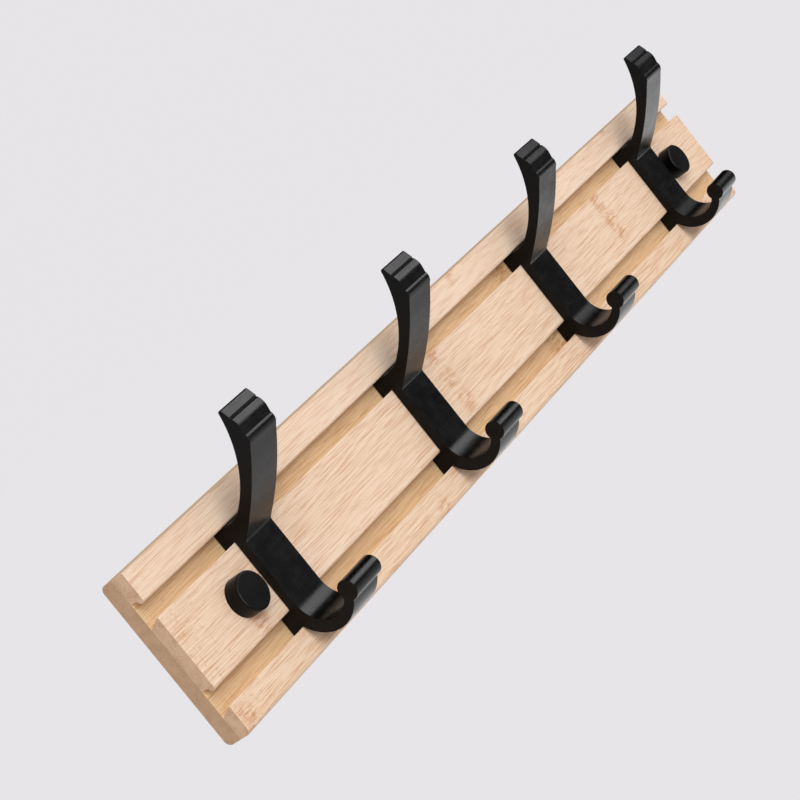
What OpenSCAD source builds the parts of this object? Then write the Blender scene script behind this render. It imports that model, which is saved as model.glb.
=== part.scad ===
// Wall coat rack: a two-layer grooved board with sliding double hooks and screw covers.
// Millimetres. +X runs along the board, +Z is up and the wall is the plane Y = 0, so the
// board and its hooks stand out of the wall towards -Y. The origin is the middle of the
// board's back face. Outlines are drawn in (u, v): u is the distance from the wall, v is Z.

/* [Board] */
// Length of the board
board_len = 600; // [520:10:700]
// Height of the board
board_h = 82; // [78:1:96]
// Thickness of the back layer, whose face is the floor of both grooves
back_t = 8; // [5:0.5:12]
// Thickness of the front layer, cut by the grooves into three rails
front_t = 7; // [6:0.5:9]
// Height of the upper rail's face
upper_rail_h = 14.6; // [11:0.1:18]
// Height of the lower rail's face
lower_rail_h = 14.1; // [11:0.1:18]
// Rounding of the two long back edges
back_edge_r = 3; // [1:0.5:4]
// Rounding of the bottom front edge
front_edge_r = 2.7; // [1:0.1:4]

/* [Grooves] */
// Height of the upper groove's mouth
upper_mouth = 7.9; // [6.5:0.1:9.5]
// Height of the lower groove's mouth
lower_mouth = 8.6; // [6.5:0.1:9.5]
// Thickness of the lips that close the grooves in front
lip_t = 3; // [2.6:0.1:3.6]
// Rounding of the lips' edges
lip_edge_r = 1.2; // [0.6:0.1:1.25]
// Height of the pockets behind the lips
pocket_rise = 2; // [1.6:0.1:3]
// Rounding in the pockets' front corners
pocket_r = 1.3; // [0.8:0.1:1.4]
// Fall of the grooves' lower walls from the face to the floor
wall_drop = 2.8; // [1:0.1:3.5]
// Running clearance of the hooks in the grooves and in front of the rail
slide_gap = 0.3; // [0.2:0.05:0.4]

/* [Hook plate] */
// Width of a hook along the board
hook_w = 22.4; // [16:0.1:28]
// Thickness of the plate between the two feet
plate_t = 4.7; // [4:0.1:6]
// Gap between an outer hook and the cover beside it, with the hooks evenly spaced
hook_end_gap = 6.7; // [4:0.1:12]
// How far hook 1 stands to the right of its even place
hook_1_off = 1.5; // [-3:0.5:3]
// How far hook 2 stands to the right of its even place
hook_2_off = -0.5; // [-3:0.5:3]
// How far hook 3 stands to the right of its even place
hook_3_off = 0; // [-3:0.5:3]
// How far hook 4 stands to the right of its even place
hook_4_off = 2.5; // [-3:0.5:3]

/* [Prong] */
// Distance from the board's face to the corner that the head's rounded crown takes off
prong_out = 42.3; // [37:0.1:48]
// Height of the prong's tip above the board's top edge
prong_rise = 25.2; // [20:0.1:30]
// Drop from the centre rail's top edge to the corner under the prong
prong_drop = 2.4; // [1:0.1:4]
// Distance from the plate's face to the start of the prong's back
prong_back_off = 5.2; // [3:0.1:6]
// Rise from the upper foot's top to the start of the prong's back
prong_back_up = 1.1; // [0.2:0.1:1.6]
// Radius of the prong's front
prong_front_r = 165; // [120:1:200]
// Radius of the prong's back
prong_back_r = 57.5; // [54:0.5:64]
// Fillet in the corner under the prong
root_fillet = 2; // [0.6:0.1:2.5]

/* [Prong head] */
// Length of the head's upper face
head_top_len = 8.9; // [8:0.1:10]
// Lean of the head's upper face towards the wall, in degrees
head_top_lean = 19.7; // [14:0.1:25]
// Length of the head's lower face
head_low_len = 5; // [4:0.1:6]
// Lean of the head's lower face away from the wall, in degrees
head_low_lean = 10.4; // [6:0.1:15]
// Radius of the head's rounded crown
crown_r = 8; // [4:0.5:9]
// Distance from the crown's corner to the head's groove
head_groove_at = 3.35; // [2.5:0.05:4.5]
// Width of the head's groove
head_groove_w = 1.5; // [0.8:0.1:2]
// Depth of the head's groove
head_groove_d = 0.5; // [0.2:0.1:1.4]
// Radius of the prong's shoulder under the head
shoulder_r = 4.2; // [3.6:0.1:4.6]
// Length of the slope between the prong's front and its shoulder
neck_len = 2; // [1.5:0.1:3]
// Rounding of the prong's tip
tip_r = 1; // [0.6:0.1:1.2]

/* [Curl] */
// Inner radius of the curl
curl_in_r = 13; // [10:0.5:15]
// Thickness of the curl at its lowest point
curl_wall = 5.6; // [4.5:0.1:6.5]
// Height of the curl's centre above the lower groove's lip
curl_up = 0.75; // [0:0.05:2]
// Radius of the bead that ends the curl
bead_r = 4.8; // [4:0.1:5.5]
// Distance from the curl's inner face out to the bead's axis
bead_out = 2.4; // [2:0.1:3]
// Angle of the bead below the curl's centre, in degrees
bead_angle = 25.2; // [10:0.1:40]

/* [Covers] */
// Distance from the board's end to the centre of a cover
cap_inset = 45; // [20:1:60]
// Diameter of a cover
cap_d = 18.2; // [16:0.1:24]
// Height of a cover
cap_h = 8.1; // [7.8:0.1:12]
// Wall of a cover
cap_wall = 1.8; // [1.2:0.1:2.2]
// Thickness of a cover's front
cap_top = 1.7; // [1.2:0.1:1.8]
// Rounding of a cover's front edge
cap_edge_r = 0.9; // [0.4:0.1:1.2]
// Clearance of a cover around its seat
cap_gap = 0.3; // [0.2:0.05:0.4]
// Thickness of a seat
seat_t = 1.8; // [1.2:0.1:1.8]
// Diameter of the fixing holes
hole_d = 5; // [4:0.1:5.5]
// Diameter of the recess for a screw's head in a seat
sink_d = 9; // [7:0.1:10]
// Depth of that recess
sink_depth = 1; // [0.4:0.1:1.1]

/* [Hidden] */
$fn = 128;
e = 0.5;                                     // overlap of joined shapes and overrun of cuts
t = 0.02;                                    // overlap of arcs that would only touch

bamboo = "#ecd2ae";
bamboo_back = "#c9a57c";
black_metal = "#202022";
black_plastic = "#171718";
grey_plastic = "#2c2c2e";

board_t = back_t + front_t;
top_v = board_h / 2;
lip_1_v = top_v - upper_rail_h;              // underside of the upper lip
wall_1_v = lip_1_v - upper_mouth;            // top front edge of the centre rail
wall_2_v = lower_rail_h - top_v;             // top front edge of the lower rail
lip_2_v = wall_2_v + lower_mouth;            // underside of the lower lip
lip_u = board_t - lip_t;                     // back of the lips
cap_x = board_len / 2 - cap_inset;
hook_pitch = (2 * (cap_x - cap_d / 2 - hook_end_gap) - hook_w) / 3;
hook_off = [hook_1_off, hook_2_off, hook_3_off, hook_4_off];

// A groove's lower wall falls towards the floor; its height at u, from its front edge
wall_slope = atan(wall_drop / front_t);
function wall_fall(u) = (board_t - u) * tan(wall_slope);
rise_gap = slide_gap / cos(wall_slope);      // slide_gap square to that wall, measured along v

plate_u = board_t + slide_gap;               // back of the hook's plate
face_u = plate_u + plate_t;                  // front of the hook's plate
foot_u = back_t + slide_gap;                 // back of the hook's feet
foot_lip_u = lip_u - slide_gap;              // front of the feet's lips
foot_1_top = lip_1_v - slide_gap;
foot_r = pocket_r - slide_gap;

function unit(a) = a / norm(a);
function at(p, r, angle) = p + r * [cos(angle), sin(angle)];
function at_arc(centre, r, p) = centre + r * unit(p - centre);
// The point at distance rp from p and rq from q, on the left of the line from p to q
function meet(p, rp, q, rq) =
    let (d = norm(q - p), w = (q - p) / d, a = (d * d + rp * rp - rq * rq) / (2 * d))
    p + a * w + sqrt(rp * rp - a * a) * [-w[1], w[0]];

// The head, from its crown's corner down to the neck and up to the tip
crown = [board_t + prong_out, top_v + prong_rise - head_top_len * cos(head_top_lean)
         - tip_r * (1 - sin(head_top_lean))];
up_dir = [-sin(head_top_lean), cos(head_top_lean)];
up_out = [cos(head_top_lean), sin(head_top_lean)];
groove_a = crown + head_groove_at * up_dir;
groove_b = groove_a + head_groove_w * up_dir;
groove_low = (groove_a + groove_b) / 2 - head_groove_d * up_out;
tip_front = crown + head_top_len * up_dir;
tip_c = tip_front - (tip_r - t) * up_out;
low_dir = [sin(head_low_lean), cos(head_low_lean)];
low_end = crown - head_low_len * low_dir;
shoulder_c = at(low_end, -shoulder_r, 22);
shoulder_in = at(shoulder_c, shoulder_r - t, -43);
neck = at(shoulder_in, -neck_len, 45);
crown_turn = head_top_lean + head_low_lean;  // angle between the head's two faces
crown_c = at(crown, -crown_r / cos(crown_turn / 2), head_top_lean - crown_turn / 2);

// The prong: two arcs from the plate to the head
root = [face_u, wall_1_v - prong_drop];      // corner under the prong
back_root = [face_u + prong_back_off, foot_1_top + prong_back_up];
back_rise = atan(prong_back_up / (prong_back_off + e));
front_c = meet(root, prong_front_r, neck, prong_front_r);
back_c = meet(back_root, prong_back_r, tip_c, prong_back_r + tip_r - t);
below = 20 * [(neck - root)[1], -(neck - root)[0]] / norm(neck - root);
root_c = [face_u + root_fillet - t, front_c[1] - sqrt(pow(prong_front_r + root_fillet - t, 2)
                                                      - pow(face_u + root_fillet - t - front_c[0], 2))];
neck_in = at(neck, 2, 60);                   // inside the head
neck_back = at_arc(back_c, prong_back_r - 2, neck_in);
tip_back = tip_c + (tip_r + 2) * unit(back_c - tip_c);

// The curl: inner and outer circles share a height, the outer one starts at the foot's corner
curl_v = lip_2_v + curl_up;
curl_out_r = curl_in_r + curl_wall;
heel_v = wall_2_v - wall_fall(plate_u) + rise_gap;
curl_in_c = [face_u + curl_in_r, curl_v];
curl_out_c = [plate_u + sqrt(pow(curl_out_r, 2) - pow(curl_v - heel_v, 2)), curl_v];
bead_c = at(curl_in_c, curl_in_r + bead_out, -bead_angle);

// An outline in (u, v) becomes a bar along X, centred on X = 0
module along_x(len)
    rotate([90, 0, -90]) linear_extrude(height = len, center = true, convexity = 10) children();

// A disc on the centre line at distance u from the wall, its axis along Y, growing from the wall
module out_of_wall(x, u)
    translate([x, -u, 0]) rotate([90, 0, 0]) children();

// The piece between a square corner and its round: added in a hollow corner, cut from a solid one
module corner_piece(u, v, su, sv, r)
    difference() {
        translate([min(u - su * e, u + su * r), min(v - sv * e, v + sv * r)]) square(r + e);
        translate([u + su * r, v + sv * r]) circle(r);
    }

// A box given by its corners
module block(u0, v0, u1, v1) translate([u0, v0]) square([u1 - u0, v1 - v0]);

module lip(v)
    difference() {
        block(lip_u, v, board_t, v + pocket_rise + e);
        corner_piece(lip_u, v, 1, 1, lip_edge_r);
        corner_piece(board_t, v, -1, 1, lip_edge_r);
    }

module pocket_corner(v)
    intersection() {
        corner_piece(lip_u, v + pocket_rise, -1, -1, pocket_r);
        block(lip_u - pocket_r, v, lip_u + lip_t / 2, v + pocket_rise + e);
    }

module fixing_holes(u0, u1)
    for (x = [-cap_x, cap_x])
        out_of_wall(x, u0 - 1) cylinder(d = hole_d, h = u1 - u0 + 2);

module back_ply()
    color(bamboo_back) difference() {
        along_x(board_len) difference() {
            block(0, -top_v, back_t, top_v);
            corner_piece(0, -top_v, 1, 1, back_edge_r);
            corner_piece(0, top_v, 1, -1, back_edge_r);
        }
        fixing_holes(0, back_t);
    }

module upper_rail()
    color(bamboo) along_x(board_len) union() {
        block(back_t, lip_1_v + pocket_rise, board_t, top_v);
        lip(lip_1_v);
        pocket_corner(lip_1_v);
    }

module centre_rail()
    color(bamboo) difference() {
        along_x(board_len) union() {
            polygon([[board_t, wall_1_v], [back_t, wall_1_v - wall_drop],
                     [back_t, lip_2_v + pocket_rise], [board_t, lip_2_v + pocket_rise]]);
            lip(lip_2_v);
            pocket_corner(lip_2_v);
        }
        fixing_holes(back_t, board_t);
    }

module lower_rail()
    color(bamboo) along_x(board_len) difference() {
        polygon([[board_t, wall_2_v], [back_t, wall_2_v - wall_drop],
                 [back_t, -top_v], [board_t, -top_v]]);
        corner_piece(board_t, -top_v, -1, 1, front_edge_r);
    }

// A washer under each cover, with a recess for the head of the wall screw
module cap_seat(x)
    color(grey_plastic) out_of_wall(x, board_t) difference() {
        cylinder(r = cap_d / 2 - cap_wall - cap_gap, h = seat_t);
        translate([0, 0, -1]) cylinder(d = hole_d, h = seat_t + 2);
        translate([0, 0, seat_t - sink_depth]) cylinder(d = sink_d, h = sink_depth + 1);
    }

module cap_seat_left() cap_seat(-cap_x);
module cap_seat_right() cap_seat(cap_x);

// A cover: a cup that stands mouth down on the centre rail, around its seat
module cap(x)
    color(black_plastic) out_of_wall(x, board_t) rotate_extrude() difference() {
        block(0, 0, cap_d / 2, cap_h);
        corner_piece(cap_d / 2, cap_h, -1, -1, cap_edge_r);
        block(-1, -1, cap_d / 2 - cap_wall, cap_h - cap_top);
    }

module cap_left() cap(-cap_x);
module cap_right() cap(cap_x);

// A foot reaches through a groove's mouth and rises behind its lip
module foot(lip_v, wall_v) {
    top = lip_v - slide_gap;
    difference() {
        polygon([[foot_u, wall_v - wall_fall(foot_u) + rise_gap],
                 [plate_u + e, wall_v - wall_fall(plate_u + e) + rise_gap],
                 [plate_u + e, top], [foot_lip_u, top], [foot_lip_u, top + pocket_rise],
                 [foot_u, top + pocket_rise]]);
        corner_piece(foot_lip_u, top + pocket_rise, -1, -1, foot_r);
    }
}

module prong() {
    difference() {
        intersection() {
            translate(front_c) circle(prong_front_r, $fn = 512);
            polygon([[face_u - e, root[1] - 3], root + below, neck_in + below, neck_in,
                     neck_back, [face_u - e, foot_1_top]]);
        }
        translate(back_c) circle(prong_back_r, $fn = 256);
    }
    // from the plate's top a slope rises to the start of the prong's back
    polygon([[face_u - e, foot_1_top], [face_u - e, root[1] + 3], at(back_root, 1, back_rise)]);
    // the round in the corner under the prong
    difference() {
        polygon([root + [-e, e], [face_u - e, root_c[1]], root_c,
                 at_arc(front_c, prong_front_r - e, root_c)]);
        translate(root_c) circle(root_fillet);
    }
}

// What the crown's round takes off the corner between the head's two faces
module crown_corner()
    difference() {
        polygon([crown_c, at(crown_c, crown_r + e, -head_low_lean),
                 at(crown_c, (crown_r + e) / cos(crown_turn / 2), head_top_lean - crown_turn / 2),
                 at(crown_c, crown_r + e, head_top_lean)]);
        translate(crown_c) circle(crown_r + t);
    }

module head()
    difference() {
        union() {
            polygon([at(neck, -2, 45), shoulder_in, low_end - e * low_dir, crown, groove_a,
                     groove_low, groove_b, tip_front, tip_c, tip_back, neck_back,
                     at(neck_back, 5, -60)]);
            translate(shoulder_c) circle(shoulder_r);
            translate(tip_c) circle(tip_r);
        }
        translate(back_c) circle(prong_back_r, $fn = 256);
        crown_corner();
    }

// The ring's end towards the plate runs on into the lower foot
module curl() {
    foot_2_top = lip_2_v - slide_gap;
    difference() {
        intersection() {
            translate(curl_out_c) circle(curl_out_r);
            polygon([[plate_u, curl_v], curl_in_c, at(curl_in_c, 40, -bead_angle),
                     [curl_out_c[0] + 40, curl_v - 40], [plate_u - 1, curl_v - 40],
                     [plate_u - 1, foot_2_top - 1], [plate_u, foot_2_top - 1]]);
        }
        translate(curl_in_c) circle(curl_in_r);
    }
    translate(bead_c) circle(bead_r);
}

// A hook is one length of a bar with this section
module hook(i)
    color(black_metal) translate([(i - 2.5) * hook_pitch + hook_off[i - 1], 0, 0])
    along_x(hook_w) union() {
        block(plate_u, curl_v, face_u, foot_1_top);
        foot(lip_1_v, wall_1_v);
        foot(lip_2_v, wall_2_v);
        prong();
        head();
        curl();
    }

module hook_1() hook(1);
module hook_2() hook(2);
module hook_3() hook(3);
module hook_4() hook(4);

back_ply();
upper_rail();
centre_rail();
lower_rail();
cap_seat_left();
cap_seat_right();
cap_left();
cap_right();
hook_1();
hook_2();
hook_3();
hook_4();
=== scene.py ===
"""Wall coat rack: bamboo board, sliding black hooks and screw covers, in a plain studio.

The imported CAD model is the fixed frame. Each shown piece starts as a merged copy of its CAD
solid, so it keeps that solid's place and size, and gets softened edges and a procedural finish.
Lengths in the code are metres; +X runs along the board, -Y points out of the wall, +Z is up.
"""

from math import radians

import bmesh
import bpy
from bpy.props import FloatProperty, FloatVectorProperty, PointerProperty
from bpy.types import Operator, Panel, PropertyGroup
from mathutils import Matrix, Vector


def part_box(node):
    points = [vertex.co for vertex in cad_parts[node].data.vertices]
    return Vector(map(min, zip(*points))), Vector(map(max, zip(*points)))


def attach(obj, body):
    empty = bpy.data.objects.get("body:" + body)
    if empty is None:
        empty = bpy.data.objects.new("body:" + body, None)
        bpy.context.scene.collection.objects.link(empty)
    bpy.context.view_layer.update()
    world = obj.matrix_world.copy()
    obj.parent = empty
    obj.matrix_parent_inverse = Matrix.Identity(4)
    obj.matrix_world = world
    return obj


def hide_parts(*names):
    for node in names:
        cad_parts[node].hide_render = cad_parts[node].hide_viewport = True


bl_info = {
    "name": "Wall coat rack looks",
    "version": (1, 0, 0),
    "blender": (4, 5, 0),
    "location": "3D View > Sidebar > Coat Rack",
    "description": "Dresses the packed coat rack: bamboo, anodised hooks, covers and studio",
    "category": "Object",
}

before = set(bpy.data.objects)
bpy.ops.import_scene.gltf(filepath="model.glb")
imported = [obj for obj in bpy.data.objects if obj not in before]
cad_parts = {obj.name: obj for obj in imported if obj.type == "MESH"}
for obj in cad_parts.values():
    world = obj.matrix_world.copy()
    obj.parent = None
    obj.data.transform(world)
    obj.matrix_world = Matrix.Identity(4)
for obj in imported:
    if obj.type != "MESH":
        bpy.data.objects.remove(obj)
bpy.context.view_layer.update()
MM = 0.001

# The pieces
HOOKS = ("hook_1", "hook_2", "hook_3", "hook_4")
RAILS = ("upper_rail", "centre_rail", "lower_rail")
SIDES = ("left", "right")
GLUED_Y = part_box("back_ply")[0].y          # the glued plane between the two bamboo layers
WELD = 0.002 * MM                          # corners of CAD triangles as near as this are one
ON_PLANE = 0.01 * MM                       # a corner this near the glued plane lies on it
FLAT_TURN = radians(0.4)                   # triangles that turn less than this are one face
EDGE_TURN = radians(20)                    # an edge that turns more is softened
ROUND_EDGE_TURN = radians(40)              # the same on the turned covers and seats
SHARP_TURN = radians(26)                   # an edge that turns more shades as a crease
CUT_END = 0.8                              # a face that looks this much along X is a cut end

# Where a culm's nodes leave marks in a layer's strips: one mark's place, and their step
NODE_MARKS = {"upper_rail": (10 * MM, 210 * MM), "centre_rail": (-45 * MM, 210 * MM),
              "lower_rail": (-110 * MM, 185 * MM), "back_ply": (60 * MM, 430 * MM)}

# The studio
KEY_TOWARDS = (-0.42, -0.78, 0.46)
KEY_COLOUR = (0.855, 0.925, 1.0)           # with the warm room it lights the board's front white
ROOM_COLOUR = (1.0, 0.92, 0.83)            # light thrown back by the bamboo warms the shadows
RACK_MIDDLE = (0, 0, 0)
FLOOR_REACH = 60.0                         # far enough for a level horizon in every view
FLOOR_GLOW = 1.058                         # makes the floor as bright as the backdrop over it
FLOOR_GLOW_SHARE = 0.85                    # the rest of the floor is matt and takes shadows
FILM_WIDTH = 36.0                          # in millimetres, as the focal length
# What the black metal mirrors: name, place, the point it faces, width, height and radiance
CARDS = (
    ("card_softbox", (0.83, -0.97, 0.52), RACK_MIDDLE, 0.8, 0.8, 6.6),
    ("card_low_near", (0.60, -0.05, -0.58), (0.60, -0.05, 1.0), 1.0, 1.1, 1.15),
    ("card_low_far", (1.65, -0.05, -0.58), (1.65, -0.05, 1.0), 1.1, 1.1, 1.9),
    ("card_low_behind", (1.40, 1.00, -0.58), (1.40, 1.00, 1.0), 2.8, 1.2, 1.3),
    ("card_left", (-0.90, -1.20, -0.15), RACK_MIDDLE, 1.1, 1.0, 9.0),
    ("card_dark_right", (1.40, -0.85, -0.10), RACK_MIDDLE, 1.1, 0.6, 0.12),
    ("card_dark_top", (1.35, 0.05, 1.25), RACK_MIDDLE, 1.9, 1.1, 0.0),
    ("card_dark_behind", (1.45, 0.70, 0.55), RACK_MIDDLE, 2.2, 1.3, 0.0),
)

# Settings of shader nodes
SMOOTH = {"interpolation_type": "SMOOTHSTEP"}
COLOURS = {"data_type": "RGBA", "clamp_factor": True}
COLOUR_OUT = 2                             # the Mix node's colour, among its outputs


def linear(code):
    """An sRGB hex colour as three linear values."""
    parts = [int(code[i:i + 2], 16) / 255 for i in (1, 3, 5)]
    return tuple(c / 12.92 if c <= 0.04045 else ((c + 0.055) / 1.055) ** 2.4 for c in parts)


def rgba(colour):
    """An opaque colour, as a shader socket takes it."""
    return (*colour, 1.0)


# Nodes and materials

def add(tree, kind, inputs=None, **settings):
    """Adds a shader node with its settings and returns it.

    inputs goes by socket name or number. It holds values to set, sockets to link, or nodes,
    whose first output is linked."""
    node = tree.nodes.new("ShaderNode" + kind)
    for key, value in settings.items():
        setattr(node, key, value)
    for key, value in (inputs or {}).items():
        if isinstance(value, bpy.types.Node):
            value = value.outputs[0]
        if isinstance(value, bpy.types.NodeSocket):
            tree.links.new(value, node.inputs[key])
        else:
            node.inputs[key].default_value = value
    return node


def start_material(name):
    """An empty material and its node tree."""
    material = bpy.data.materials.new(name)
    material.use_nodes = True
    material.node_tree.nodes.clear()
    return material, material.node_tree


def uneven(tree, place, lengths, detail, roughness=0.5, shift=(0, 0, 0)):
    """Soft patches from 0 to 1 in a material, each as long as lengths says, in millimetres
    along each axis. A shift, counted in patches, keeps two patterns from lying on each other."""
    place = add(tree, "Mapping", {"Vector": place, "Location": shift,
                                  "Scale": [1 / (length * MM) for length in lengths]})
    return add(tree, "TexNoise", {"Vector": place, "Scale": 1.0, "Detail": detail,
                                  "Roughness": roughness})


def bamboo_along(name, pale, honey, streak, warmth, marks):
    """Pressed bamboo strips, planed and given a matt clear coat: pale cream with fine brown
    fibre lines in loose bundles, soft honey bands, and a mottled mark where a culm had a node.

    A greater warmth brings more honey and more lines."""
    material, t = start_material(name)
    place = add(t, "TexCoord").outputs["Object"]
    along = add(t, "SeparateXYZ", {0: place})

    # how near a culm's node is: 0.5 at the node, and 0 halfway to the next one
    first, step = marks
    near = add(t, "Math", {0: along, 1: first}, operation="SUBTRACT")
    near = add(t, "Math", {0: near, 1: step}, operation="DIVIDE")
    near = add(t, "Math", {0: near}, operation="FRACT")
    near = add(t, "Math", {0: near, 1: 0.5}, operation="SUBTRACT")
    near = add(t, "Math", {0: near}, operation="ABSOLUTE")
    # on a rail, the mark fades out 8 mm off the node, and the swirl of the fibres 17 mm off
    at_node = add(t, "MapRange", {0: near, 1: 0.462, 2: 0.492}, **SMOOTH)
    round_node = add(t, "MapRange", {0: near, 1: 0.42, 2: 0.49}, **SMOOTH)

    # the fibres wander about 1 mm over 150 mm, and swirl a little round the nodes
    sway = uneven(t, place, (167, 40, 40), 1.0).outputs["Color"]
    sway = add(t, "VectorMath", {0: sway, 1: (0.5, 0.5, 0.5)}, operation="SUBTRACT")
    sway = add(t, "VectorMath", {0: sway, 1: (0.0, 3 * MM, 3 * MM)}, operation="MULTIPLY")
    swirl = uneven(t, place, (11.1, 7.69, 7.69), 1.0, shift=(2, 0, 6))
    swirl = add(t, "Math", {0: swirl, 1: 3 * MM, 2: -1.5 * MM}, operation="MULTIPLY_ADD")
    swirl = add(t, "Math", {0: swirl, 1: round_node}, operation="MULTIPLY")
    swirl = add(t, "CombineXYZ", {"Z": swirl})
    sway = add(t, "VectorMath", {0: sway, 1: swirl}, operation="ADD")
    grain = add(t, "VectorMath", {0: place, 1: sway}, operation="ADD").outputs[0]

    # fibres 0.4 and 0.74 mm apart in dashes of 19 to 36 mm, in bundles of some 5 mm, and
    # bands of 10 mm, about the width of the pressed strips
    lines = uneven(t, grain, (19.2, 0.4, 0.4), 2.0)
    wide = uneven(t, grain, (35.7, 0.741, 0.741), 2.0, shift=(5, 1, 3))
    bundles = uneven(t, grain, (125, 4.76, 4.76), 1.0, shift=(3, 5, 7))
    bands = uneven(t, grain, (250, 10, 10), 1.0, shift=(1, 2, 3))
    fine_lines = add(t, "MapRange", {0: lines, 1: 0.48, 2: 0.62}, **SMOOTH)
    wide_lines = add(t, "MapRange", {0: wide, 1: 0.47, 2: 0.66}, **SMOOTH)
    bundles = add(t, "MapRange", {0: bundles, 1: 0.38, 2: 0.62}, **SMOOTH)
    bundles = add(t, "Math", {0: bundles, 1: 0.7, 2: 0.3}, operation="MULTIPLY_ADD")
    wide_lines = add(t, "Math", {0: wide_lines, 1: bundles}, operation="MULTIPLY")

    # a node's mark: brown flecks 3 by 7 mm, in some of the 13 mm strips and not in others
    flecks = uneven(t, grain, (7.14, 3.125, 3.125), 3.0, 0.6)
    flecks = add(t, "MapRange", {0: flecks, 1: 0.38, 2: 0.62}, **SMOOTH)
    strips = uneven(t, place, (1000, 13.3, 13.3), 0.0, shift=(0, 4, 9))
    strips = add(t, "MapRange", {0: strips, 1: 0.36, 2: 0.54}, **SMOOTH)
    mark = add(t, "Math", {0: at_node, 1: flecks}, operation="MULTIPLY")
    mark = add(t, "Math", {0: mark, 1: strips}, operation="MULTIPLY")

    # the saw tore brown specks of 3 mm out of the last few centimetres before each end
    off_middle = add(t, "Math", {0: along}, operation="ABSOLUTE")
    near_end = add(t, "MapRange", {0: off_middle, 1: 262 * MM, 2: 298 * MM}, **SMOOTH)
    torn = uneven(t, place, (3.03, 2.5, 2.5), 3.0, 0.65, shift=(7, 2, 4))
    torn = add(t, "MapRange", {0: torn, 1: 0.54, 2: 0.66}, **SMOOTH)
    torn = add(t, "Math", {0: near_end, 1: torn}, operation="MULTIPLY")

    shade = 0.0
    for part, share in ((fine_lines, 0.60 * (0.6 + warmth)), (wide_lines, 0.32 * (0.6 + warmth)),
                        (mark, 0.6), (torn, 0.9 * (0.1 + warmth))):
        shade = add(t, "Math", {0: part, 1: share, 2: shade}, operation="MULTIPLY_ADD")
    tone = add(t, "Math", {0: bands, 1: 0.6, 2: warmth - 0.3}, operation="MULTIPLY_ADD")
    base = add(t, "Mix", {0: tone, 6: rgba(pale), 7: rgba(honey)}, **COLOURS)
    colour = add(t, "Mix", {0: shade, 6: base.outputs[COLOUR_OUT], 7: rgba(streak)}, **COLOURS)

    # the fibre lines are a little duller than the smooth bamboo between them
    rough = add(t, "MapRange", {0: lines, 1: 0.35, 2: 0.7, 3: 0.48, 4: 0.62}, **SMOOTH)
    relief = add(t, "Bump", {"Height": lines, "Strength": 0.35, "Distance": 0.06 * MM})
    # the matt coat scatters most of its shine
    shader = add(t, "BsdfPrincipled", {
        "Base Color": colour.outputs[COLOUR_OUT], "Roughness": rough,
        "Specular IOR Level": 0.2, "Normal": relief})
    add(t, "OutputMaterial", {"Surface": shader})
    return material


def bamboo_end(name, ground, dots):
    """Sawn bamboo across the fibres: the cut bundles are fine soft specks, denser in some
    patches, and the saw leaves the end duller than the face."""
    material, t = start_material(name)
    place = add(t, "TexCoord").outputs["Object"]

    # bundles about 0.5 mm across, denser in patches of 5 mm
    cells = add(t, "Mapping", {"Vector": place,
                               "Scale": [1 / (size * MM) for size in (16.7, 0.526, 0.526)]})
    cells = add(t, "TexVoronoi", {"Vector": cells, "Scale": 1.0}, feature="F1")
    spot = add(t, "MapRange", {0: cells, 1: 0.50, 2: 0.15}, **SMOOTH)
    patch = uneven(t, place, (5, 5, 5), 2.0)
    patch = add(t, "MapRange", {0: patch, 1: 0.35, 2: 0.65}, **SMOOTH)
    dense = add(t, "Math", {0: patch, 1: 0.5, 2: 0.25}, operation="MULTIPLY_ADD")
    # the saw's teeth draw marks 1.1 mm apart across the end
    saw = uneven(t, place, (1000, 11.1, 1.11), 2.0)

    shade = add(t, "Math", {0: spot, 1: dense}, operation="MULTIPLY")
    for part, share in ((patch, 0.22), (saw, 0.15)):
        shade = add(t, "Math", {0: part, 1: share, 2: shade}, operation="MULTIPLY_ADD")
    colour = add(t, "Mix", {0: shade, 6: rgba(ground), 7: rgba(dots)}, **COLOURS)
    relief = add(t, "Bump", {"Height": saw, "Strength": 0.3, "Distance": 0.08 * MM})
    shader = add(t, "BsdfPrincipled", {
        "Base Color": colour.outputs[COLOUR_OUT], "Roughness": 0.72, "IOR": 1.4,
        "Normal": relief})
    add(t, "OutputMaterial", {"Surface": shader})
    return material


def black_anodised(name, colour, roughness, hairs):
    """Aluminium bar, extruded, cut to length and anodised satin black: a deep even black with
    hairlines and soft clouds. hairs gives the hairlines' size in millimetres along each axis."""
    material, t = start_material(name)
    place = add(t, "TexCoord").outputs["Object"]
    hair = uneven(t, place, hairs, 3.0, 0.65)
    cloud = uneven(t, place, (5.88, 5.88, 5.88), 3.0)
    both = add(t, "Math", {0: hair, 1: cloud}, operation="ADD")
    rough = add(t, "MapRange", {0: both, 1: 0.7, 2: 1.3, 3: roughness - 0.05,
                                4: roughness + 0.06})
    # handling leaves the clouds a little lighter than the black between them
    dusty = tuple(c * 1.4 + 0.0008 for c in colour)
    tone = add(t, "MapRange", {0: cloud, 1: 0.4, 2: 0.7})
    shade = add(t, "Mix", {0: tone, 6: rgba(colour), 7: rgba(dusty)}, **COLOURS)
    relief = add(t, "Bump", {"Height": hair, "Strength": 0.25, "Distance": 0.02 * MM})
    # the dyed oxide drinks light, so it mirrors a quarter of what a clear coat would
    shader = add(t, "BsdfPrincipled", {
        "Base Color": shade.outputs[COLOUR_OUT], "Roughness": rough,
        "Specular IOR Level": 0.133, "Normal": relief})
    add(t, "OutputMaterial", {"Surface": shader})
    return material


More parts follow.
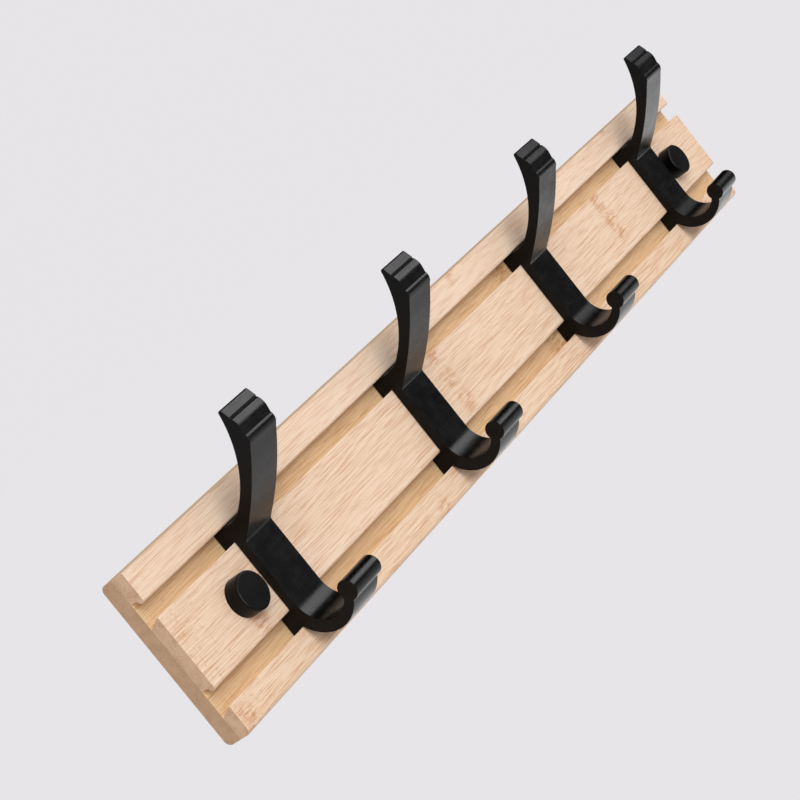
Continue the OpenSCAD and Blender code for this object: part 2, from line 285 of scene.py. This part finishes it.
def moulded_plastic(name, colour, roughness, grit):
    """Injection-moulded ABS with a spark-eroded texture of pits, grit wide: matt and even."""
    material, t = start_material(name)
    place = add(t, "TexCoord").outputs["Object"]
    pits = uneven(t, place, (grit / MM,) * 3, 2.0)
    cloud = uneven(t, place, (8.33, 8.33, 8.33), 2.0)
    rough = add(t, "MapRange", {0: cloud, 1: 0.35, 2: 0.7, 3: roughness - 0.04,
                                4: roughness + 0.05})
    lighter = tuple(c * 1.35 for c in colour)
    shade = add(t, "Mix", {0: pits, 6: rgba(colour), 7: rgba(lighter)}, **COLOURS)
    relief = add(t, "Bump", {"Height": pits, "Strength": 0.4, "Distance": 0.03 * MM})
    # the pits hide most of the sheen that smooth ABS would have
    shader = add(t, "BsdfPrincipled", {
        "Base Color": shade.outputs[COLOUR_OUT], "Roughness": rough,
        "Specular IOR Level": 0.1, "Normal": relief})
    add(t, "OutputMaterial", {"Surface": shader})
    return material


# Pieces

def softened_piece(name, node, body, materials, edge, segments, least_turn=EDGE_TURN):
    """A merged copy of a CAD solid with its outer edges softened, riding on its body.

    The first material goes on the sides and the second on faces that look along X. Edges on
    the glued plane between the bamboo layers stay square, so the joint stays closed."""
    bm = bmesh.new()
    bm.from_mesh(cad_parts[node].data)
    bmesh.ops.remove_doubles(bm, verts=bm.verts, dist=WELD)
    bmesh.ops.dissolve_limit(bm, angle_limit=FLAT_TURN, verts=bm.verts, edges=bm.edges,
                             use_dissolve_boundaries=False)
    outer = []
    for line in bm.edges:
        if len(line.link_faces) != 2 or line.calc_face_angle_signed(0.0) < least_turn:
            continue
        if all(abs(v.co.y - GLUED_Y) < ON_PLANE for v in line.verts):
            continue
        outer.append(line)
    if edge > 0.0 and outer:
        bmesh.ops.bevel(bm, geom=outer, offset=edge, offset_type="OFFSET", affect="EDGES",
                        segments=segments, profile=0.5, clamp_overlap=True, material=-1)
    for face in bm.faces:
        face.smooth = True
        face.material_index = int(len(materials) > 1 and abs(face.normal.x) > CUT_END)
    mesh = bpy.data.meshes.new(name)
    bm.to_mesh(mesh)
    bm.free()
    for material in materials:
        mesh.materials.append(material)
    mesh.set_sharp_from_angle(angle=SHARP_TURN)
    piece = bpy.data.objects.new(name, mesh)
    bpy.context.scene.collection.objects.link(piece)
    weighted = piece.modifiers.new("even_shading", "WEIGHTED_NORMAL")
    weighted.keep_sharp = True
    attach(piece, body)
    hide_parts(node)
    return piece


# Stage

def far_lamp(name, towards, strength, spread, colour):
    """A lamp so far away that it lights the whole board alike; towards points at it."""
    lamp = bpy.data.lights.new(name, "SUN")
    lamp.energy = strength
    lamp.angle = spread
    lamp.color = colour
    holder = bpy.data.objects.new(name, lamp)
    bpy.context.scene.collection.objects.link(holder)
    holder.rotation_euler = (-Vector(towards)).to_track_quat("-Z", "Y").to_euler()


def mirrored_card(name, place, facing, width, height, radiance):
    """A flat card that is seen only as a reflection in the rack's dark metal."""
    shine, t = start_material(name)
    light = add(t, "Emission", {"Color": (1, 1, 1, 1), "Strength": radiance})
    add(t, "OutputMaterial", {"Surface": light})
    turn = (Vector(facing) - Vector(place)).to_track_quat("Z", "Y").to_matrix()
    bm = bmesh.new()
    bmesh.ops.create_grid(bm, x_segments=1, y_segments=1, size=0.5)
    bmesh.ops.scale(bm, verts=bm.verts, vec=(width, height, 1))
    bmesh.ops.rotate(bm, verts=bm.verts, matrix=turn)
    bmesh.ops.translate(bm, verts=bm.verts, vec=place)
    mesh = bpy.data.meshes.new(name)
    bm.to_mesh(mesh)
    bm.free()
    mesh.materials.append(shine)
    card = bpy.data.objects.new(name, mesh)
    bpy.context.scene.collection.objects.link(card)
    card.visible_camera = False
    card.visible_diffuse = False
    card.visible_transmission = False
    card.visible_shadow = False


def seen_directly(tree):
    """1 for rays from the camera and for those mirrored or let through, otherwise 0."""
    path = add(tree, "LightPath").outputs
    most = add(tree, "Math", {0: path["Is Camera Ray"], 1: path["Is Glossy Ray"]},
               operation="MAXIMUM")
    return add(tree, "Math", {0: most, 1: path["Is Transmission Ray"]}, operation="MAXIMUM")


def pale_room(backdrop, ambient):
    """Even warm light from all round, with the pale backdrop where the camera looks past."""
    world = bpy.data.worlds.new("pale studio")
    bpy.context.scene.world = world
    world.use_nodes = True
    w = world.node_tree
    w.nodes.clear()
    seen = seen_directly(w)
    room = add(w, "Background", {"Color": rgba(ROOM_COLOUR), "Strength": ambient})
    behind = add(w, "Background", {"Color": rgba(backdrop), "Strength": 1.0})
    both = add(w, "MixShader", {0: seen, 1: room, 2: behind})
    add(w, "OutputWorld", {"Surface": both})


def paper_floor(backdrop, drop):
    """Matt pale paper, far below the rack, as bright to the camera as the backdrop."""
    paper, t = start_material("pale paper floor")
    share = add(t, "Math", {0: seen_directly(t), 1: FLOOR_GLOW_SHARE}, operation="MULTIPLY")
    matt = add(t, "BsdfDiffuse", {"Color": rgba(backdrop)})
    glow = add(t, "Emission", {"Color": rgba(backdrop), "Strength": FLOOR_GLOW})
    both = add(t, "MixShader", {0: share, 1: matt, 2: glow})
    add(t, "OutputMaterial", {"Surface": both})
    bm = bmesh.new()
    bmesh.ops.create_grid(bm, x_segments=1, y_segments=1, size=FLOOR_REACH)
    bmesh.ops.translate(bm, verts=bm.verts, vec=(0, 0, -drop))
    mesh = bpy.data.meshes.new("studio_floor")
    bm.to_mesh(mesh)
    bm.free()
    mesh.materials.append(paper)
    floor = bpy.data.objects.new("studio_floor", mesh)
    bpy.context.scene.collection.objects.link(floor)


def still_camera(place, turn, lens):
    """The camera, on the photograph's viewing angle."""
    camera = bpy.data.cameras.new("camera")
    camera.sensor_width = FILM_WIDTH
    camera.lens = lens
    camera.clip_start, camera.clip_end = 0.01, 200.0
    holder = bpy.data.objects.new("camera", camera)
    bpy.context.scene.collection.objects.link(holder)
    holder.location = place
    holder.rotation_euler = turn
    bpy.context.scene.camera = holder


# What a user would change

class RackBoardLooks(PropertyGroup):
    """Sizes and colours of the bamboo board's finish."""
    edge: FloatProperty(
        name="Softened edge", description="How far the board's square edges are sanded back",
        default=0.4 * MM, min=0.0, max=1.0 * MM, unit="LENGTH", precision=5)
    pale: FloatVectorProperty(
        name="Bamboo", description="Bamboo between its fibre lines, front layer",
        default=linear("#f2d6bb"), size=3, min=0.0, max=1.0, subtype="COLOR")
    honey: FloatVectorProperty(
        name="Broad bands", description="Warmer bands in the front layer",
        default=linear("#e9c59f"), size=3, min=0.0, max=1.0, subtype="COLOR")
    streak: FloatVectorProperty(
        name="Fibre lines", description="Brown fibre lines and node marks, front layer",
        default=linear("#ce946b"), size=3, min=0.0, max=1.0, subtype="COLOR")
    warmth: FloatVectorProperty(
        name="Warmth of the rails", description="Share of the warm tone: upper, centre, lower",
        default=(0.12, 0.30, 0.42), size=3, min=0.0, max=1.0)
    back_pale: FloatVectorProperty(
        name="Back layer", description="Bamboo of the back layer, seen in the grooves",
        default=linear("#e9c99d"), size=3, min=0.0, max=1.0, subtype="COLOR")
    back_honey: FloatVectorProperty(
        name="Back layer bands", description="Warmer bands in the back layer",
        default=linear("#dbb17e"), size=3, min=0.0, max=1.0, subtype="COLOR")
    back_streak: FloatVectorProperty(
        name="Back layer fibre lines", description="Brown fibre lines in the back layer",
        default=linear("#bb8a59"), size=3, min=0.0, max=1.0, subtype="COLOR")
    back_warmth: FloatProperty(
        name="Warmth of the back layer", description="Share of the warm tone in the back layer",
        default=0.2, min=0.0, max=1.0, subtype="FACTOR")
    end_front: FloatVectorProperty(
        name="Front end grain", description="Sawn ends of the front layer",
        default=linear("#e0ba99"), size=3, min=0.0, max=1.0, subtype="COLOR")
    end_back: FloatVectorProperty(
        name="Back end grain", description="Sawn ends of the back layer",
        default=linear("#c8a382"), size=3, min=0.0, max=1.0, subtype="COLOR")
    end_dots: FloatVectorProperty(
        name="Cut fibres", description="Dots of cut fibre in the sawn ends",
        default=linear("#a98260"), size=3, min=0.0, max=1.0, subtype="COLOR")


class RackHookLooks(PropertyGroup):
    """Sizes and colours of the hooks' finish."""
    edge: FloatProperty(
        name="Tumbled edge", description="Rounding that tumbling leaves on the hooks' cut edges",
        default=0.28 * MM, min=0.0, max=0.5 * MM, unit="LENGTH", precision=5)
    black: FloatVectorProperty(
        name="Anodised black", description="Colour of the anodised aluminium",
        default=linear("#040404"), size=3, min=0.0, max=1.0, subtype="COLOR")
    roughness: FloatProperty(
        name="Roughness", description="How satin the anodised surface is",
        default=0.26, min=0.05, max=1.0, subtype="FACTOR")
    cut_roughness: FloatProperty(
        name="Cut ends' roughness", description="How satin the anodised cut ends are",
        default=0.32, min=0.05, max=1.0, subtype="FACTOR")


class RackCoverLooks(PropertyGroup):
    """Sizes and colours of the screw covers' finish."""
    edge: FloatProperty(
        name="Cover edge", description="Rounding of the covers' rims",
        default=0.15 * MM, min=0.0, max=0.4 * MM, unit="LENGTH", precision=5)
    seat_edge: FloatProperty(
        name="Seat edge", description="Rounding of the seats' rims",
        default=0.12 * MM, min=0.0, max=0.4 * MM, unit="LENGTH", precision=5)
    grit: FloatProperty(
        name="Texture", description="Width of the mould texture's pits, coarser than real ones",
        default=0.28 * MM, min=0.05 * MM, max=2.0 * MM, unit="LENGTH", precision=5)
    black: FloatVectorProperty(
        name="Cover black", description="Colour of the moulded covers",
        default=linear("#040404"), size=3, min=0.0, max=1.0, subtype="COLOR")
    seat_grey: FloatVectorProperty(
        name="Seat grey", description="Colour of the moulded seats under the covers",
        default=linear("#242426"), size=3, min=0.0, max=1.0, subtype="COLOR")
    roughness: FloatProperty(
        name="Roughness", description="How matt the covers' plastic is",
        default=0.32, min=0.05, max=1.0, subtype="FACTOR")
    seat_roughness: FloatProperty(
        name="Seats' roughness", description="How matt the seats' plastic is",
        default=0.42, min=0.05, max=1.0, subtype="FACTOR")


class RackStudio(PropertyGroup):
    """The floor, the light and the camera."""
    backdrop: FloatVectorProperty(
        name="Backdrop", description="Colour of the floor and of what stands behind",
        default=linear("#e6e4e7"), size=3, min=0.0, max=1.0, subtype="COLOR")
    ambient: FloatProperty(
        name="Room light", description="Strength of the even light from all round",
        default=0.42, min=0.0, max=2.0)
    key: FloatProperty(
        name="Key light", description="Strength of the far lamp, in front, left and above",
        default=2.44, min=0.0, max=20.0)
    key_spread: FloatProperty(
        name="Key softness", description="How wide the far lamp looks from the rack",
        default=radians(48), min=0.0, max=radians(90), subtype="ANGLE")
    floor_drop: FloatProperty(
        name="Floor", description="How far the floor lies below the middle of the board",
        default=0.6, min=0.1, max=2.0, unit="LENGTH")
    camera_place: FloatVectorProperty(
        name="Camera place", description="Where the camera stands",
        default=(-0.9792, -0.6911, 0.1022), size=3, subtype="TRANSLATION", unit="LENGTH")
    camera_turn: FloatVectorProperty(
        name="Camera turn", description="How the camera is turned",
        default=(radians(84.151), radians(38.369), radians(-56.482)), size=3, subtype="EULER")
    lens: FloatProperty(
        name="Focal length", description="Focal length of the camera in millimetres",
        default=108.50, min=20.0, max=300.0, unit="CAMERA")


# Operators

class RACK_OT_board(Operator):
    """Make the bamboo board: the back layer and the three rails of the front layer"""
    bl_idname = "rack.board"
    bl_label = "Bamboo board"

    def execute(self, context):
        looks = context.scene.rack_board
        behind = bamboo_along("bamboo strips, back layer", looks.back_pale, looks.back_honey,
                              looks.back_streak, looks.back_warmth, NODE_MARKS["back_ply"])
        end = bamboo_end("bamboo end grain", looks.end_front, looks.end_dots)
        end_behind = bamboo_end("bamboo end grain, back layer", looks.end_back, looks.end_dots)
        softened_piece("bamboo_back_ply", "back_ply", "board",
                       (behind, end_behind), looks.edge, segments=3)
        for rail, warmth in zip(RAILS, looks.warmth):
            along = bamboo_along("bamboo strips, " + rail.replace("_", " "), looks.pale,
                                 looks.honey, looks.streak, warmth, NODE_MARKS[rail])
            softened_piece("bamboo_" + rail, rail, "board",
                           (along, end), looks.edge, segments=3)
        return {"FINISHED"}


class RACK_OT_hooks(Operator):
    """Make the four sliding double hooks"""
    bl_idname = "rack.hooks"
    bl_label = "Sliding hooks"

    def execute(self, context):
        looks = context.scene.rack_hooks
        # the die draws hairlines along the bar, 0.5 mm apart here and finer on a real one
        drawn = black_anodised("black anodised aluminium, extruded", looks.black,
                               looks.roughness, (83.3, 0.526, 0.526))
        # the cut ends are milled and then tumbled, so their hairlines run across the bar
        cut = black_anodised("black anodised aluminium, cut end", looks.black,
                             looks.cut_roughness, (2, 4.17, 0.588))
        for hook in HOOKS:
            softened_piece("aluminium_" + hook, hook, hook, (drawn, cut),
                           looks.edge, segments=2)
        return {"FINISHED"}


class RACK_OT_covers(Operator):
    """Make the two screw covers and the seats they stand on"""
    bl_idname = "rack.covers"
    bl_label = "Screw covers"

    def execute(self, context):
        looks = context.scene.rack_covers
        cover = moulded_plastic("black ABS, fine texture", looks.black, looks.roughness,
                                looks.grit)
        seat = moulded_plastic("grey ABS, fine texture", looks.seat_grey, looks.seat_roughness,
                               looks.grit)
        for side in SIDES:
            softened_piece("plastic_cover_" + side, "cap_" + side, "cap_" + side,
                           (cover,), looks.edge, segments=2, least_turn=ROUND_EDGE_TURN)
            softened_piece("plastic_seat_" + side, "cap_seat_" + side, "board",
                           (seat,), looks.seat_edge, segments=2, least_turn=ROUND_EDGE_TURN)
        return {"FINISHED"}


class RACK_OT_studio(Operator):
    """Make the floor, the light and the camera"""
    bl_idname = "rack.studio"
    bl_label = "Studio"

    def execute(self, context):
        studio = context.scene.rack_studio
        context.scene.view_settings.view_transform = "Standard"
        pale_room(studio.backdrop, studio.ambient)
        paper_floor(studio.backdrop, studio.floor_drop)
        far_lamp("key_lamp", KEY_TOWARDS, studio.key, studio.key_spread, KEY_COLOUR)
        for card in CARDS:
            mirrored_card(*card)
        still_camera(studio.camera_place, studio.camera_turn, studio.lens)
        return {"FINISHED"}


class RACK_PT_looks(Panel):
    """The rack's looks in the 3D view's sidebar"""
    bl_label = "Coat Rack"
    bl_idname = "RACK_PT_looks"
    bl_space_type = "VIEW_3D"
    bl_region_type = "UI"
    bl_category = "Coat Rack"

    def draw(self, context):
        for group, operator in GROUPS.items():
            box = self.layout.box()
            looks = getattr(context.scene, group)
            for key in looks.__annotations__:
                box.prop(looks, key)
            box.operator(operator)


GROUPS = {"rack_board": "rack.board", "rack_hooks": "rack.hooks",
          "rack_covers": "rack.covers", "rack_studio": "rack.studio"}
CLASSES = (RackBoardLooks, RackHookLooks, RackCoverLooks, RackStudio,
           RACK_OT_board, RACK_OT_hooks, RACK_OT_covers, RACK_OT_studio, RACK_PT_looks)


def register():
    """Makes the rack's settings, operators and panel known to Blender."""
    for item in CLASSES:
        bpy.utils.register_class(item)
    for group, kind in zip(GROUPS, CLASSES):
        setattr(bpy.types.Scene, group, PointerProperty(type=kind))


def unregister():
    """Takes the rack's settings, operators and panel out of Blender again."""
    for group in GROUPS:
        delattr(bpy.types.Scene, group)
    for item in reversed(CLASSES):
        bpy.utils.unregister_class(item)


def main():
    register()
    bpy.ops.rack.board()
    bpy.ops.rack.hooks()
    bpy.ops.rack.covers()
    bpy.ops.rack.studio()


if __name__ == "__main__":
    main()
